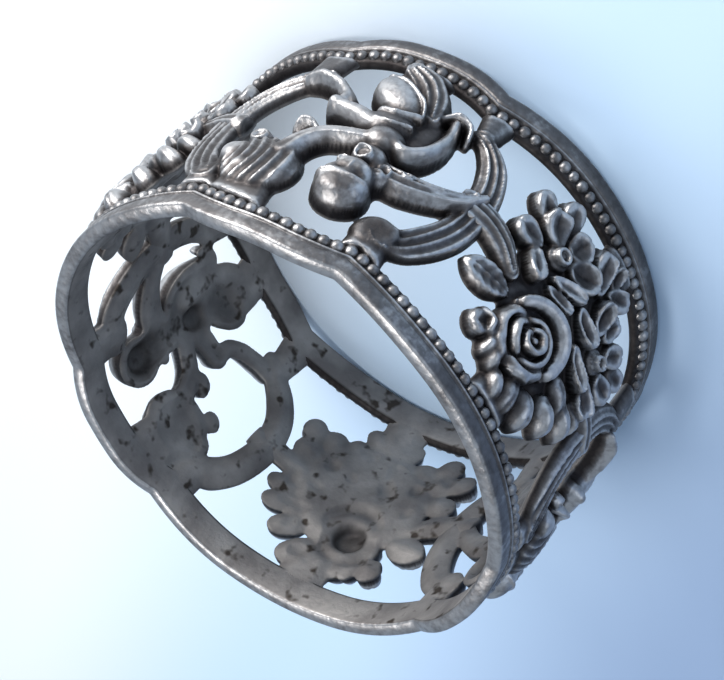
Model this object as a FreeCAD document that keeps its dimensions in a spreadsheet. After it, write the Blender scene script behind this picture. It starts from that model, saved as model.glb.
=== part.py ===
import FreeCAD, Part
import math
import os
import Sketcher

# Pierced relief napkin ring, cast in one piece. It stands on end: its axis is +Z and
# its lower border rests on z = 0. The wall carries three figure panels, the first of
# them centred on +X, and three flower panels between them.

doc = FreeCAD.newDocument("napkin_ring")
V = FreeCAD.Vector

SIZES = (
    ("outer_radius", 22.5, "smooth border strip, outside"),
    ("wall", 1.0, "thickness of the pierced ground"),
    ("border_step", 0.4, "border strip proud of the ground"),
    ("half_height", 13.73, "middle of the ring to the crown of a figure lobe"),
    ("flower_drop", 0.17, "crown of a flower lobe below that of a figure lobe"),
    ("notch_depth", 0.97, "notch between two lobes below the crown"),
    ("notch_angle", 18.83, "notch from the centre of a figure panel, degrees"),
    ("figure_flat", 2.0, "half length of the flat crown of a figure lobe"),
    ("flower_flat", 6.0, "half length of the flat crown of a flower lobe"),
    ("strip_width", 1.75, "smooth border strip"),
    ("beads_per_third", 43, "beads in a third of one row"),
    ("bead_size", 0.98, "width of a bead"),
    ("bead_rise", 0.55, "bead above the ground"),
    ("bead_inset", 2.5, "centre line of the beads from the edge"),
    ("window_reach", 10.0, "openwork from the middle of the ring"),
    ("head_size", 5.6, "head of the figure, across"),
    ("head_rise", 3.0, "head above the ground"),
    ("body_rise", 2.1, "trunk of the figure above the ground"),
    ("limb_rise", 1.7, "arms and legs above the ground"),
    ("scroll_width", 2.7, "band of the C-scrolls"),
    ("scroll_rise", 1.25, "rim of the C-scrolls above the ground"),
    ("rose_size", 7.6, "large rose, across"),
    ("rose_rise", 1.9, "large rose above the ground"),
    ("petal_rise", 1.05, "small petals and leaves above the ground"),
    ("hollow_depth", 1.2, "hollow behind the large rose"),
)
sheet = doc.addObject("Spreadsheet::Sheet", "sizes")
for row, (name, value, note) in enumerate(SIZES, start=1):
    sheet.set("A%d" % row, name)
    sheet.set("B%d" % row, str(value))
    sheet.set("C%d" % row, note)
    sheet.setAlias("B%d" % row, name)
doc.recompute()


def size(name):
    return float(sheet.get(name))


# The ornament is drawn on a grid laid round the wall: u along it and v up from the
# middle, in millimetres of a ring 45 wide and 27.46 high. The grid stretches with both.
GRID_RADIUS, GRID_HALF = 22.5, 13.73
THIRD = 120.0
GROUND_FACETS = 30
ground = size("outer_radius") - size("border_step")
bore = ground - size("wall")
middle = size("half_height")
stretch_u = size("outer_radius") / GRID_RADIUS
stretch_v = size("half_height") / GRID_HALF
SINK = 0.45 * size("wall")
FLOWER_U = -math.radians(THIRD / 2) * GRID_RADIUS


def spot(u, v, radius):
    turn = u / GRID_RADIUS
    return V(radius * math.cos(turn), radius * math.sin(turn), middle + v * stretch_v)


def solid_of(faces):
    solid = Part.Solid(Part.Shell([Part.Face(Part.makePolygon(f + [f[0]])) for f in faces]))
    if solid.Volume < 0:
        solid.reverse()
    return solid


def stud(u, v, length, width, turn, rise, sides=8, layers=((0.62, 1.0),), ridge=None):
    """A raised boss: an oval of plane facets that narrows in layers to a flat top.

    With a ridge it ends in a short crest along its length instead, or in a point.
    """
    angle = u / GRID_RADIUS
    out = V(math.cos(angle), math.sin(angle), 0)
    along = V(-math.sin(angle), math.cos(angle), 0)
    centre = spot(u, v, ground)
    lean = math.radians(turn)

    def place(x, y, height):
        across = (x * math.cos(lean) - y * math.sin(lean)) * stretch_u
        up = (x * math.sin(lean) + y * math.cos(lean)) * stretch_v
        return centre + along * across + V(0, 0, up) + out * height

    rings = []
    for part, height in ((1.0, -SINK / rise),) + (tuple(layers) if ridge is None else ()):
        turns = [2 * math.pi * (k + 0.5) / sides for k in range(sides)]
        rings.append([place(math.cos(t) * length / 2 * part, math.sin(t) * width / 2 * part,
                            height * rise) for t in turns])
    faces = [rings[0]]
    for low, high in zip(rings, rings[1:]):
        faces += [[low[k - 1], low[k], high[k], high[k - 1]] for k in range(sides)]
    if ridge is None:
        return solid_of(faces + [rings[-1]])
    crest = [place(side * ridge * length / 2, 0, rise) for side in (1, -1)]
    if ridge == 0:
        return solid_of(faces + [[rings[0][k - 1], rings[0][k], crest[0]] for k in range(sides)])
    quarter = sides // 4
    ends = [0 if k < quarter or k >= sides - quarter else 1 for k in range(sides)]
    for k in range(sides):
        faces.append([rings[0][k - 1], rings[0][k], crest[ends[k]]])
        if ends[k] != ends[k - 1]:
            faces.append([rings[0][k - 1], crest[ends[k]], crest[ends[k - 1]]])
    return solid_of(faces)


def skin(loops):
    """Solid whose skin joins one closed loop of points to the next in plane facets."""
    count = len(loops[0])
    faces = []
    for near, far in zip(loops, loops[1:]):
        for k in range(count):
            faces += [[near[k - 1], near[k], far[k]], [near[k - 1], far[k], far[k - 1]]]
    for loop in (loops[0], loops[-1]):
        faces += [[loop[0], loop[k], loop[k + 1]] for k in range(1, count - 1)]
    return solid_of(faces)


RIDGE = ((-1, 0), (0, 1), (1, 0))
LIMB = ((-1, 0), (-0.5, 1), (0.5, 1), (1, 0))
SCROLL = ((-1, 0), (-0.75, 1), (0.6, 0.5), (1, 0))


def rib(path, width, rise, section=RIDGE, thin=0.4):
    """A raised strip along a path on the wall, thinner and lower at both ends."""
    last = len(path) - 1
    loops = []
    for i, (u, v) in enumerate(path):
        before, after = path[max(i - 1, 0)], path[min(i + 1, last)]
        du, dv = after[0] - before[0], after[1] - before[1]
        step = math.hypot(du, dv)
        swell = thin + (1 - thin) * math.sin(math.pi * i / last)
        half = width * swell / 2
        loops.append([spot(u - dv / step * half * across, v + du / step * half * across,
                           ground - SINK + up * (rise * swell + SINK)) for across, up in section])
    return skin(loops)


def sweep(u, v, across, up, start, stop, steps=4):
    """Path along an oval arc on the wall, angles in degrees."""
    turns = [math.radians(start + (stop - start) * k / steps) for k in range(steps + 1)]
    return [(u + across * math.cos(t), v + up * math.sin(t)) for t in turns]


def feature(name, shape):
    item = doc.addObject("Part::Feature", name)
    item.Shape = shape
    item.Label = name
    return item


def bound(kind, name, **links):
    item = doc.addObject(kind, name)
    for key, formula in links.items():
        item.setExpression(key, formula)
    return item


# Shaped border: each lobe is a plate seen square on, flat at the crown and falling in
# an arc to the notches. The plate cuts its share of a plain tube.

def lobe_plate(name, crown, flat, notch, reach):
    """Plate with a flat crown above and below; arcs run from the flats past the notches."""
    body = doc.addObject("PartDesign::Body", name)
    sketch = body.newObject("Sketcher::SketchObject", name + "_outline")
    plane = [o for o in body.Origin.OriginFeatures if o.Role == "YZ_Plane"][0]
    sketch.AttachmentSupport = [(plane, "")]
    sketch.MapMode = "FlatFace"
    level, half, bow, edge = 13.0, 3.0, 20.0, 9.0
    drop = bow - math.sqrt(bow ** 2 - (edge - half) ** 2)
    corners = [(half, level), (-half, level), (-edge, level - drop), (-edge, drop - level),
               (-half, -level), (half, -level), (edge, drop - level), (edge, level - drop)]
    for k in (0, 2, 4, 6):
        a, b = corners[k], corners[k + 1]
        sketch.addGeometry(Part.LineSegment(V(a[0], a[1], 0), V(b[0], b[1], 0)), False)
    up, down = math.pi / 2, -math.pi / 2
    spread = math.asin((edge - half) / bow)
    for x, y, start, stop in ((-half, level - bow, up, up + spread),
                              (-half, bow - level, down - spread, down),
                              (half, bow - level, down, down + spread),
                              (half, level - bow, up - spread, up)):
        circle = Part.Circle(V(x, y, 0), V(0, 0, 1), bow)
        sketch.addGeometry(Part.ArcOfCircle(circle, start, stop), False)
    # lines 0 top, 1 left, 2 bottom, 3 right; arcs 4 upper left, 5 lower left, 6, 7 right
    add = lambda *rule: sketch.addConstraint(Sketcher.Constraint(*rule))
    for line, end, arc, arc_end in ((0, 2, 4, 1), (2, 1, 5, 2), (2, 2, 6, 1), (0, 1, 7, 2)):
        add("Tangent", line, end, arc, arc_end)
    for line, end, arc, arc_end in ((1, 1, 4, 2), (1, 2, 5, 1), (3, 1, 6, 2), (3, 2, 7, 1)):
        add("Coincident", line, end, arc, arc_end)
    add("Symmetric", 0, 1, 0, 2, -2)
    add("Symmetric", 2, 1, 2, 2, -2)
    add("Symmetric", 0, 1, 2, 2, -1)
    add("Vertical", 1)
    add("Vertical", 3)
    for arc in (5, 6, 7):
        add("Equal", 4, arc)
    for name_, rule, formula in (
            ("flat", ("DistanceX", 0, 2, 0, 1, 2 * half), "2 * (%s)" % flat),
            ("crown", ("DistanceY", -1, 1, 0, 1, level), crown),
            ("edge", ("DistanceX", -1, 1, 3, 1, edge), "(%s) + 1" % reach),
            ("breadth", ("DistanceX", 1, 1, 3, 2, 2 * edge), "2 * (%s) + 2" % reach),
            ("bow", ("Radius", 4, bow),
             "((%s - %s)^2 + (%s)^2) / (2 * (%s))" % (reach, flat, notch, notch))):
        sketch.renameConstraint(add(*rule), name_)
        sketch.setExpression("Constraints." + name_, formula)
    pad = body.newObject("PartDesign::Pad", name + "_plate")
    pad.Profile = sketch
    pad.setExpression("Length", "sizes.outer_radius + 6")
    body.setExpression("Placement.Base.z", "sizes.half_height")
    return body


def arc_of_wall(name, crown, flat, notch, span):
    """A stretch of the ring: shaped edges, smooth strips and the lower ground between."""
    reach = "sizes.outer_radius * sin((%s) * 1 deg)" % span
    pie = bound("Part::Cylinder", name + "_pie", Radius="sizes.outer_radius",
                Height="2 * sizes.half_height", Angle="2 * (%s)" % span)
    pie.setExpression("Placement.Rotation.Angle", "-(%s)" % span)
    hole = bound("Part::Cylinder", name + "_hole", Height="2 * sizes.half_height",
                 Radius="sizes.outer_radius - sizes.border_step - sizes.wall")
    tube = doc.addObject("Part::Cut", name + "_tube")
    tube.Base, tube.Tool = pie, hole
    edged = doc.addObject("Part::Common", name + "_edged")
    edged.Base = tube
    edged.Tool = lobe_plate(name + "_lobe", crown, flat, notch, reach)
    core = bound("Part::Prism", name + "_core", Height="2 * sizes.half_height",
                 Circumradius="sizes.outer_radius - sizes.border_step")
    core.Polygon = GROUND_FACETS
    recess = doc.addObject("Part::Cut", name + "_recess")
    recess.Base = lobe_plate(name + "_inset", crown + " - sizes.strip_width", flat, notch, reach)
    recess.Tool = core
    arc = doc.addObject("Part::Cut", name)
    arc.Base, arc.Tool = edged, recess
    return arc


figure_arc = arc_of_wall("figure_arc", "sizes.half_height", "sizes.figure_flat",
                         "sizes.notch_depth", "sizes.notch_angle")
flower_arc = arc_of_wall("flower_arc", "sizes.half_height - sizes.flower_drop",
                         "sizes.flower_flat", "sizes.notch_depth - sizes.flower_drop",
                         "60 - sizes.notch_angle")
doc.recompute()


# Beading: one row inside each border strip, following the lobes.

def edge_height(degrees):
    """Height of the shaped edge above the middle, at an angle from a figure centre."""
    swing = (degrees + THIRD / 2) % THIRD - THIRD / 2
    crown, flat, fall, off = (size("half_height"), size("figure_flat"),
                              size("notch_depth"), abs(swing))
    span = size("notch_angle")
    if off > span:
        crown, flat = crown - size("flower_drop"), size("flower_flat")
        fall, off, span = fall - size("flower_drop"), THIRD / 2 - off, THIRD / 2 - span
    far = size("outer_radius") * math.sin(math.radians(span)) - flat
    bow = (far ** 2 + fall ** 2) / (2 * fall)
    x = max(size("outer_radius") * math.sin(math.radians(off)) - flat, 0)
    return crown - bow + math.sqrt(bow ** 2 - x ** 2)


def bead_row(side):
    beads = []
    count = int(size("beads_per_third"))
    for k in range(count):
        degrees = size("notch_angle") - (k + 0.5) * THIRD / count
        height = (edge_height(degrees) - size("bead_inset")) / stretch_v
        across = 1.35 * size("bead_size")
        beads.append(stud(math.radians(degrees) * GRID_RADIUS, side * height, across, across, 0,
                          size("bead_rise"), 4, ridge=0))
    return beads


# Figure panel: a winged child in a cartouche of two C-scrolls, with a bundle of
# drapery over its arm.

def figure_forms():
    head, trunk, limb = size("head_rise"), size("body_rise"), size("limb_rise")
    across, band, rim = size("head_size"), size("scroll_width"), size("scroll_rise")
    forms = [stud(-3.2, 5.7, across, across, 0, head, 10, ((0.9, 0.55), (0.5, 1.0)))]
    # nose and cheek; curls of hair round the back of the head
    forms += [stud(-0.9, 5.0, 1.4, 1.2, 0, 0.75 * head, 4, ridge=0),
              stud(-1.7, 3.9, 2.2, 2.0, 0, 0.8 * head, 4)]
    for k in range(4):
        t = math.radians(85 + 45 * k)
        forms.append(stud(-3.3 + 2.4 * math.cos(t), 5.8 + 2.4 * math.sin(t),
                          2.4, 1.9, math.degrees(t), 0.86 * head, 4, ridge=0.4))
    # chest, belly, shoulders
    forms += [stud(-2.7, 0.2, 4.8, 5.0, 0, trunk, 6),
              stud(-2.4, -2.8, 4.4, 4.2, 0, 1.15 * trunk, 8)]
    # arms and hands
    forms += [rib([(-4.2, 0.6), (-6.3, -2.2), (-6.2, -6.6)], 2.1, limb, LIMB, 0.75),
              rib([(-0.9, 1.2), (2.0, 0.5), (4.9, 2.6)], 2.0, limb, LIMB, 0.8)]
    # raised thigh, shin and foot; the other thigh and foot
    forms += [rib([(-1.6, -2.4), (2.9, -1.4)], 2.4, 1.2 * limb, LIMB, 0.9),
              rib([(2.5, -0.9), (4.2, -5.5)], 1.8, 1.1 * limb, LIMB, 0.9),
              rib([(3.7, -4.9), (7.6, -6.5)], 1.6, limb, LIMB, 0.9),
              stud(0.7, -5.6, 2.9, 4.8, 28, 1.2 * trunk, 6),
              rib([(1.4, -7.2), (-1.6, -8.5)], 1.7, limb, RIDGE, 0.9)]
    # wing: feathers that fan from the shoulder to the left scroll
    for k in range(3):
        forms.append(rib([(-4.4, 1.5 - 0.6 * k), (-10.6, 1.6 - 1.3 * k)],
                         1.7, 1.0 + 0.16 * k, RIDGE, 0.9))
    # drapery bundle that hangs from the upper border, and folds that reach the lower one
    for k in range(3):
        forms.append(rib([(5.5, 2.4), (3.7 + 1.5 * k, 6.4), (3.2 + 1.6 * k, 10.9)],
                         2.1, 1.5, RIDGE, 0.8))
    for k in range(2):
        forms.append(rib([(-2.6 + 1.4 * k, -4.9), (0.7 + 1.1 * k, -10.9)], 1.9, 1.3, RIDGE, 0.9))
    # C-scrolls of the cartouche: dished band with a raised outer rim, and its terminals
    forms += [rib(sweep(-0.6, 0.0, 11.6, 8.9, 124, 240, 6), band, rim, SCROLL, 0.8),
              rib(sweep(0.6, 0.0, 12.2, 9.1, 58, -60, 6)[::-1], band, rim, SCROLL, 0.8)]
    for u, v, lean in ((-7.9, 8.4, 20), (8.3, 8.4, -20), (-7.5, -8.6, -30), (7.9, -8.6, 30)):
        forms.append(stud(u, v, 3.3, 4.8, lean, 1.2 * rim, 6))
    return forms


# Flower panel: a large rose over smaller blossoms, leaves and buds.

def flower_forms():
    leaf, rise, across = size("petal_rise"), size("rose_rise"), size("rose_size")
    at = FLOWER_U
    forms = [stud(at + 2.1, 4.4, across, across, 0, 0.5 * rise, 10),
             stud(at + 2.1, 4.4, 0.26 * across, 0.26 * across, 0, 1.15 * rise, 6)]
    # two whorls of cupped petals round the heart of the rose
    for count, ring, width, high, lead in ((3, 0.22, 0.9, 1.06, 20), (5, 0.385, 1.2, 0.9, 50)):
        for k in range(count):
            start = lead + 360.0 * k / count
            path = sweep(at + 2.1, 4.4, ring * across, ring * across,
                         start, start + 350.0 / count, 2)
            forms.append(rib(path, width, high * rise, RIDGE, 0.55))
    # outer petals, leaves and buds: place, length, width, lean, share of the rise
    for u, v, length, width, turn, part in (
            (-1.4, 9.0, 4.6, 3.4, -20, 1.0), (2.2, 9.4, 3.8, 3.2, 90, 0.9),
            (5.4, 7.6, 3.6, 2.6, -30, 1.2), (7.7, 3.6, 3.9, 3.2, -10, 1.3),
            (-4.4, 6.2, 3.8, 3.4, 30, 1.3), (-6.9, 3.5, 3.6, 2.9, 10, 1.1),
            (-6.8, 0.6, 3.8, 2.8, 0, 1.2), (-3.5, 2.2, 3.8, 3.4, 40, 1.3),
            (-3.2, -1.0, 3.8, 3.0, 20, 1.2), (-8.2, -4.7, 3.8, 2.6, 50, 1.0),
            (-5.6, -5.4, 3.6, 2.8, 70, 1.1), (-2.9, -4.4, 3.4, 2.8, 20, 1.2),
            (0.4, -1.2, 3.8, 3.0, 0, 1.3), (7.4, 0.3, 4.4, 3.2, 10, 1.1),
            (0.4, -4.6, 3.2, 3.0, 0, 1.0), (7.7, -6.3, 3.4, 2.5, -30, 1.1),
            (4.8, -7.6, 3.4, 2.4, 20, 1.1), (-0.6, -8.6, 4.4, 3.4, 85, 1.1),
            (-9.4, 0.0, 3.6, 2.6, 0, 1.0), (10.2, -0.2, 3.4, 2.4, 0, 1.0)):
        forms.append(stud(at + u, v, length, width, turn, part * leaf, 5, ((0.55, 1.0),)))
    # two small open blossoms
    for u, v, ring, petal, count in ((4.4, -3.4, 1.75, 2.3, 5), (-5.6, -2.2, 1.1, 1.9, 3)):
        for k in range(count):
            t = math.radians(18 + 360.0 / count * k)
            forms.append(stud(at + u + ring * math.cos(t), v + ring * math.sin(t),
                              petal, 0.85 * petal, math.degrees(t), 1.5 * leaf, 4, ridge=0.35))
        forms.append(stud(at + u, v, 0.7 * petal, 0.7 * petal, 0, 1.8 * leaf, 4, ridge=0))
    return forms


# Openwork: the gaps round the figure and the flowers, sawn square through the wall.

def window(outline, du=0.0):
    reach = size("window_reach")
    points = [(u + du, max(-reach, min(reach, v))) for u, v in outline]
    centre = sum(u for u, v in points) / len(points) / GRID_RADIUS
    out = V(math.cos(centre), math.sin(centre), 0)
    flat = []
    for u, v in points:
        turn = u / GRID_RADIUS - centre
        side = size("outer_radius") * math.sin(turn)
        flat.append(out * (0.8 * bore) + V(-out.y, out.x, 0) * side
                    + V(0, 0, middle + v * stretch_v))
    depth = size("outer_radius") + 2 * size("head_rise") - 0.8 * bore
    return Part.Face(Part.makePolygon(flat + [flat[0]])).extrude(out * depth)


FIGURE_WINDOWS = (
    # over the head and down past the face
    ((-6.0, 10), (1.6, 10), (2.6, 5.4), (2.4, 2.0), (0.2, 2.0), (-0.3, 6.4), (-3.2, 8.9)),
    # between head, wing and left scroll
    ((-10.1, 2.8), (-8.6, 5.6), (-6.1, 5.2), (-5.6, 3.0)),
    # between wing, arm and left scroll
    ((-10.2, -1.8), (-7.2, -1.5), (-7.4, -5.6), (-9.6, -4.2)),
    # below the arm
    ((-5.4, -6.0), (-4.2, -5.0), (-1.6, -9.2), (-2.4, -10), (-5.4, -10)),
    # under the foot
    ((2.4, -5.0), (5.4, -7.0), (6.2, -8.4), (5.6, -10), (2.6, -10)),
    # between leg, arm and right scroll
    ((5.6, 1.6), (8.2, 4.8), (10.2, 3.4), (10.5, -1.4), (8.4, -4.8), (5.3, -4.4), (3.9, -0.6)),
)
FLOWER_WINDOWS = (
    # upper left, lower left, upper right and lower right of the bouquet
    ((-14.0, 10), (-3.6, 10), (-7.9, 5.6), (-9.6, 1.6), (-11.4, 5.2)),
    ((-10.1, -2.6), (-8.9, -6.4), (-3.9, -7.6), (-3.0, -10), (-13.8, -10), (-12.3, -6.6)),
    ((3.4, 10), (8.0, 6.6), (10.6, 2.0), (11.9, 4.4), (13.6, 10)),
    ((2.2, -10), (3.8, -8.9), (8.6, -7.8), (9.9, -2.4), (12.4, -5.8), (14.4, -10)),
)
cuts = [window(outline) for outline in FIGURE_WINDOWS]
cuts += [window(outline, FLOWER_U) for outline in FLOWER_WINDOWS]


def hollow(u, v, width, depth):
    """A dished hollow in the back of a raised form, narrower towards the front."""
    angle = u / GRID_RADIUS
    out = V(math.cos(angle), math.sin(angle), 0)
    along = V(-out.y, out.x, 0)
    rings = []
    for half, reach in ((width / 2 + 0.5, -1.0), (width / 4, depth)):
        turns = [2 * math.pi * k / 8 for k in range(8)]
        rings.append([spot(u, v, bore) + out * reach + along * (half * stretch_u * math.cos(t))
                      + V(0, 0, half * stretch_v * math.sin(t)) for t in turns])
    low, high = rings
    return solid_of([low, high] + [[low[k - 1], low[k], high[k], high[k - 1]] for k in range(8)])


cuts.append(hollow(FLOWER_U + 2.1, 4.4, 4.4, size("hollow_depth")))
cuts.append(hollow(-2.6, -1.6, 3.8, 0.9 * size("hollow_depth")))

carving = [feature("figure_relief", Part.Compound(figure_forms())),
           feature("flower_relief", Part.Compound(flower_forms()))]
forms = figure_forms() + flower_forms()
beading = bead_row(1) + bead_row(-1)


def thirds(shape):
    """The shape and its copies a third and two thirds of a turn on."""
    turned = []
    for k in range(3):
        copy = shape.copy()
        copy.rotate(V(0, 0, 0), V(0, 0, 1), THIRD * k)
        turned.append(copy)
    return turned


flower_here = flower_arc.Shape.copy()
flower_here.rotate(V(0, 0, 0), V(0, 0, 1), -THIRD / 2)
sector = figure_arc.Shape.fuse([flower_here] + forms + beading)
sector = sector.cut(cuts)
whole = thirds(sector)
ring = whole[0].fuse(whole[1:])
if len(ring.Solids) == 1:
    ring = ring.Solids[0]
body = feature("napkin_ring", ring)

os.makedirs("parts", exist_ok=True)
doc.recompute()
for item in doc.Objects:
    if "Invalid" in item.State or "Error" in item.State:
        raise RuntimeError("%s did not build" % item.Name)
if body.Shape.isNull() or not body.Shape.isValid() or len(body.Shape.Solids) != 1:
    raise RuntimeError("the ring is not one valid solid: %d" % len(body.Shape.Solids))
body.Shape.exportStep("parts/napkin_ring.step")
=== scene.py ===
"""Looks of a pierced relief napkin ring: sculpted panels, shaped borders and beading."""
# The frame comes first, before anything is added.
import math

import bpy
import numpy as np
from mathutils import Matrix, Vector


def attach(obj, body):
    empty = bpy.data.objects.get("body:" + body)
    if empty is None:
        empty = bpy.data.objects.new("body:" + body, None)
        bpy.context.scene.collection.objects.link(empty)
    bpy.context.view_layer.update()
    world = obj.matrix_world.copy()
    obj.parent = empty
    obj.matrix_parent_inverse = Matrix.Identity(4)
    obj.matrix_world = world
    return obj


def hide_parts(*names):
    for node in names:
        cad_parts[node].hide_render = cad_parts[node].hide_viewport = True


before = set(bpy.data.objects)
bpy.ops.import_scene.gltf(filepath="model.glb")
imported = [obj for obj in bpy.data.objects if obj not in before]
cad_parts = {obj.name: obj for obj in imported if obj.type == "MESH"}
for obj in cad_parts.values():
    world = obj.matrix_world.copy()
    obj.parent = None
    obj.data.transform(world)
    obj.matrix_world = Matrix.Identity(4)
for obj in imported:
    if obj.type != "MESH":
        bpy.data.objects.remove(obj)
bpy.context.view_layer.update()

bl_info = {
    "name": "Relief Napkin Ring",
    "version": (1, 0, 0),
    "blender": (4, 5, 0),
    "location": "View3D > Sidebar > Napkin Ring",
    "description": "Builds the relief, borders, beading and stage of a pierced silver napkin ring",
    "category": "Object",
}

MM = 0.001
THIRD = 120.0
NODE = "napkin_ring"

# Half lengths of the flat crowns of the two kinds of lobe, in mm.
FIGURE_FLAT = 2.0
FLOWER_FLAT = 6.0

# A panel is laid out in mm: u along the wall at this radius, v up from the middle of the wall.
GRID_RADIUS = 22.5
FIGURE_SPAN = (-14.9, 15.6)
FLOWER_SPAN = (-13.2, 13.4)
PANEL_REACH = 11.1
ROSE = (1.6, 4.1)
BLOSSOM = (4.2, -3.7)
SMALL_BLOSSOM = (-4.9, -2.2)

# Values where nothing reaches: cover, height of a form, and distance from a path, in mm.
NO_COVER = -3.0
NO_HEIGHT = -4.0
FAR = 1e3

# How far a form's metal goes past its outline, and the soft edge of a hollow, in mm.
LAY_MARGIN = 0.14
DENT_EDGE = 0.12

# Front of a panel, in mm: how it sinks under the bead row and rounds off at its edges.
LOWEST = -0.25
BRIM = 3.15
BRIM_FADE = 0.25
TUCK = 0.35
EDGE_WIDTH = 0.9
EDGE_BASE = 0.5
EDGE_SHARE = 0.6

# Back of a panel, in mm: hollows behind the high forms, and metal thinned at the edges.
HOLLOW_BLUR = 0.55
HOLLOW_START = 1.05
HOLLOW_MOST = 1.5
THIN_WIDTH = 1.3
THINNING = 0.5
SPARE = 0.5

# Wear of a panel's front, close by and further round: blur in mm, gain, value where level.
NEAR_WEAR = (0.35, 3.6, 0.45)
BROAD_WEAR = (1.3, 0.6, 0.5)
NEAR_SHARE = 0.62
BROAD_SHARE = 0.38

BORDER_STEPS = 720

# How bright wear leaves the border: on its faces, in its grooves, and added on its crests.
FACE_WORN = 0.63
GROOVE_WORN = 0.12
CREST_WORN = 0.24

# Beads: how far out they stand in mm, their facets, wear and spread of sizes.
BEAD_OUT = 0.04
BEAD_SEGMENTS = 14
BEAD_RINGS = 10
BEAD_WORN = 0.73
BEAD_SPREAD = 0.07


def settings():
    return bpy.context.scene.napkin_ring


# Shaped edge

def edge_height(degrees):
    """Height of the shaped edge above the middle of the ring, in mm."""
    # each lobe has a flat crown and falls to the notches along an arc, whose radius is bow
    s = settings()
    off = abs((degrees + THIRD / 2) % THIRD - THIRD / 2)
    crown, flat, fall, span = s.half_height, FIGURE_FLAT, s.notch_depth, s.notch_angle
    if off > span:
        crown, fall, flat = crown - s.flower_drop, fall - s.flower_drop, FLOWER_FLAT
        off, span = THIRD / 2 - off, THIRD / 2 - span
    far = s.outer_radius * math.sin(math.radians(span)) - flat
    bow = (far ** 2 + fall ** 2) / (2 * fall)
    x = max(s.outer_radius * math.sin(math.radians(off)) - flat, 0.0)
    return crown - bow + math.sqrt(bow ** 2 - x ** 2)


# Relief fields

def blur(field, cells):
    """Soft mean of a field over a few cells each way."""
    reach = int(3 * cells)
    taps = np.exp(-0.5 * (np.arange(-reach, reach + 1) / cells) ** 2)
    taps /= taps.sum()
    for axis in (0, 1):
        pad = [(0, 0), (0, 0)]
        pad[axis] = (reach, reach)
        wide = np.pad(field, pad, mode="edge")
        size = field.shape[axis]
        field = sum(t * np.take(wide, range(k, k + size), axis=axis) for k, t in enumerate(taps))
    return field


def smooth_max(a, b, k):
    """The larger of two fields, blended over k where they are nearly equal."""
    mix = np.clip(0.5 + 0.5 * (a - b) / k, 0, 1)
    return b * (1 - mix) + a * mix + k * mix * (1 - mix)


def half_round(t):
    """A half circle: 1 in the middle, 0 where t reaches 1."""
    return np.sqrt(np.clip(1 - t ** 2, 0, 1))


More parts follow.
